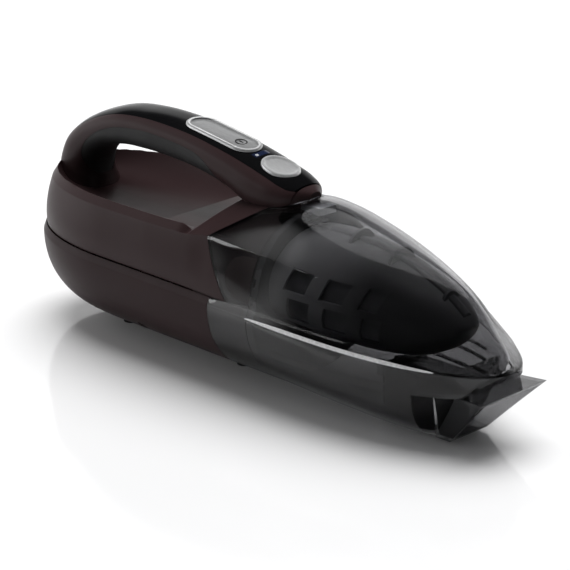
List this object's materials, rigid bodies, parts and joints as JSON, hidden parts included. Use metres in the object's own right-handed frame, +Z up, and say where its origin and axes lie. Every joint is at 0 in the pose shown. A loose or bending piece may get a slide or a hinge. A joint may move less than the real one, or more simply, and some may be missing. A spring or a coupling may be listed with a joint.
{
  "type": "handheld vacuum cleaner",
  "caption": "Cordless handheld vacuum: dark rounded casing with arched handle, slide switch and release button, clear pull-off dust container with bullet filter and flared scoop nozzle.",
  "frame": {"origin": "centre of the footprint at floor level", "axes": "+X towards the nozzle, +Z up, +Y to the machine's left side"},
  "size_m": [0.3696, 0.11, 0.1384],
  "materials": {
    "casing_brown": "satin, fine moulded texture",
    "lower_brown": "satin, fine moulded texture",
    "trim_black": "high gloss",
    "grip_black": "soft touch, matte",
    "silver": "satin silver",
    "smoke_clear": "clear smoke grey, polished",
    "filter_dark": "matte",
    "filter_cloth": "pleated fleece",
    "rubber_black": "matte",
    "collar_brown": "satin",
    "plastic_black": "matte",
    "latch_grey": "satin light grey",
    "lens_blue": "tinted lens",
    "steel": "bright",
    "motor_steel": "zinc plated",
    "impeller_white": "satin",
    "shroud_grey": "matte",
    "cell_wrap": "shrink wrap",
    "nickel": "nickel strip",
    "pcb_green": "solder mask"
  },
  "bodies": {
    "body": {"housing_left": "casing_brown", "housing_right": "casing_brown", "lower_housing": "lower_brown", "handle_top_trim": "trim_black", "handle_grip": "grip_black", "power_microswitch": "plastic_black", "latch_pin": "steel", "latch_spring": "steel", "charge_indicator_lens": "lens_blue", "indicator_board": "pcb_green", "charging_socket": "plastic_black", "intake_collar": "collar_brown", "motor": "motor_steel", "fan_shroud": "shroud_grey", "motor_mount_ring": "rubber_black", "battery_cells": "cell_wrap", "battery_holder": "plastic_black", "cell_links": "nickel", "control_board": "pcb_green", "case_screws": "steel", "base_screws": "steel", "rubber_feet": "rubber_black"},
    "power_switch": {"power_slider": "silver", "slider_carrier": "plastic_black"},
    "release": {"release_button": "silver"},
    "latch": {"release_latch": "latch_grey"},
    "container": {"container_shell": "smoke_clear", "nozzle": "smoke_clear", "inlet_duct": "smoke_clear", "flap_pin": "steel"},
    "filter": {"filter_frame": "filter_dark", "filter_gasket": "rubber_black", "filter_basket": "filter_dark", "filter_cloth": "filter_cloth"},
    "flap": {"inlet_flap": "rubber_black"},
    "fan": {"motor_shaft": "steel", "impeller": "impeller_white"}
  },
  "joints": [
    {"name": "power_slide", "type": "slide", "parent": "body", "child": "power_switch", "axis": [0.9912, 0, -0.1323], "range_m": [0, 0.006]},
    {"name": "button_press", "type": "slide", "parent": "body", "child": "release", "axis": [0, 0, -1], "range_m": [0, 0.002], "stiffness_N_per_m": 500, "springref_m": -0.001, "deforming": ["latch_spring"]},
    {"name": "latch_tilt", "type": "hinge", "parent": "body", "child": "latch", "pos_m": [-0.02, 0, 0.117], "axis": [0, 1, 0], "range_deg": [0, 5]},
    {"name": "container_pull", "type": "slide", "parent": "body", "child": "container", "axis": [1, 0, 0], "range_m": [0, 0.3]},
    {"name": "filter_pull", "type": "slide", "parent": "container", "child": "filter", "axis": [-1, 0, 0], "range_m": [0, 0.15]},
    {"name": "flap_swing", "type": "hinge", "parent": "container", "child": "flap", "pos_m": [0.0993, 0, 0.0325], "axis": [0, 1, 0], "range_deg": [0, 50], "stiffness_Nm_per_rad": 0.003},
    {"name": "fan_spin", "type": "hinge", "parent": "body", "child": "fan", "pos_m": [-0.04, 0, 0.052], "axis": [1, 0, 0], "continuous": true}
  ],
  "couplings": [
    {"joint": "latch_tilt", "follows": "button_press", "rad_per_m": 43.6},
    {"joint": "filter_pull", "follows": "container_pull", "ratio": 0.5}
  ]
}
